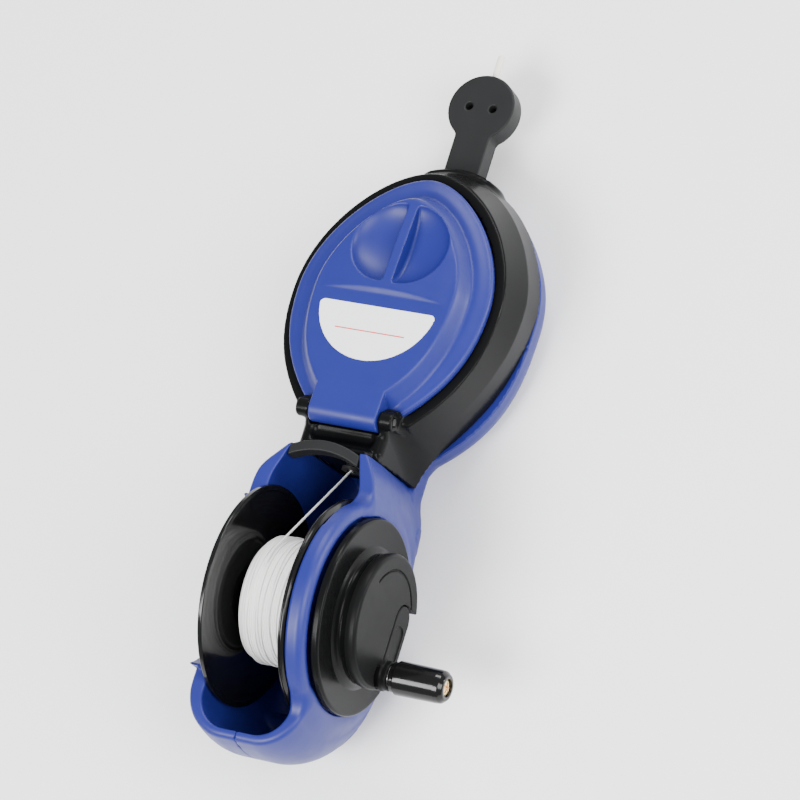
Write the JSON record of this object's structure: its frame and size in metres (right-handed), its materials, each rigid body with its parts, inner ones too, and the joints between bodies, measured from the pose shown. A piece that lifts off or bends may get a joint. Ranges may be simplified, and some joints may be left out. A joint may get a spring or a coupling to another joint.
{
  "type": "chalk line reel",
  "caption": "Hand-wound marking line reel: open spool with a folding crank, ink pot with a flip-up lid, and a pin anchor at the line's end.",
  "frame": {"origin": "on the flat back face, straight below the reel's axis, in the middle plane between the two body halves", "axes": "+X out of the crank side, +Y from the reel towards the line's end, +Z out of the lid"},
  "size_m": [0.0813, 0.2197, 0.066],
  "materials": {
    "blue_plastic": "satin",
    "black_plastic": "semi-gloss",
    "gloss_black": "gloss",
    "matte_black": "fine matt texture",
    "steel": "zinc plated",
    "brass": "satin",
    "white_line": "twisted nylon",
    "wad_felt": "felt",
    "label": "satin film",
    "seal_rubber": "matt",
    "grey_plastic": "matt",
    "ivory_plastic": "satin"
  },
  "bodies": {
    "body": {"left_body_shell": "blue_plastic", "right_body_shell": "blue_plastic", "body_screws": "steel", "ink_pot": "black_plastic", "pot_screws": "steel", "hinge_pin": "steel", "lower_wad": "wad_felt", "upper_wad": "wad_felt", "inlet_eyelet": "brass", "outlet_nozzle": "brass", "left_axle_bush": "brass", "right_axle_bush": "brass", "thrust_washers": "steel", "line_lead": "white_line"},
    "reel": {"spool_drum": "gloss_black", "spool_right_flange": "gloss_black", "drive_pin": "steel", "reel_axle": "steel", "axle_clip": "steel", "line_winding": "white_line", "crank_disc": "gloss_black", "crank_screw": "steel", "crank_cap": "matte_black", "arm_pivot_pin": "steel"},
    "arm": {"crank_arm": "matte_black", "knob_screw": "brass", "knob_washer": "steel"},
    "knob": {"crank_knob": "gloss_black"},
    "cover": {"lid": "blue_plastic", "lid_seal": "seal_rubber", "lid_label": "label"},
    "anchor": {"line_anchor": "grey_plastic", "anchor_needle": "steel", "line_run": "white_line"},
    "sleeve": {"needle_sleeve": "ivory_plastic"}
  },
  "joints": [
    {"name": "reel_spin", "type": "hinge", "parent": "body", "child": "reel", "pos_m": [0, 0, 0.035], "axis": [1, 0, 0], "continuous": true},
    {"name": "crank_arm_fold", "type": "hinge", "parent": "reel", "child": "arm", "pos_m": [0.0265, 0.003, 0.0258], "axis": [1, 0, 0], "range_deg": [0, 90]},
    {"name": "knob_spin", "type": "hinge", "parent": "arm", "child": "knob", "pos_m": [0.039, -0.0123, 0.0258], "axis": [1, 0, 0], "continuous": true},
    {"name": "lid_flip", "type": "hinge", "parent": "body", "child": "cover", "pos_m": [0, 0.0545, 0.0392], "axis": [1, 0, 0], "range_deg": [0, 110]},
    {"name": "anchor_pull", "type": "slide", "parent": "body", "child": "anchor", "axis": [0, 1, 0], "range_m": [0, 0.04]},
    {"name": "sleeve_pull", "type": "slide", "parent": "anchor", "child": "sleeve", "axis": [0, 1, 0], "range_m": [0, 0.012]}
  ]
}
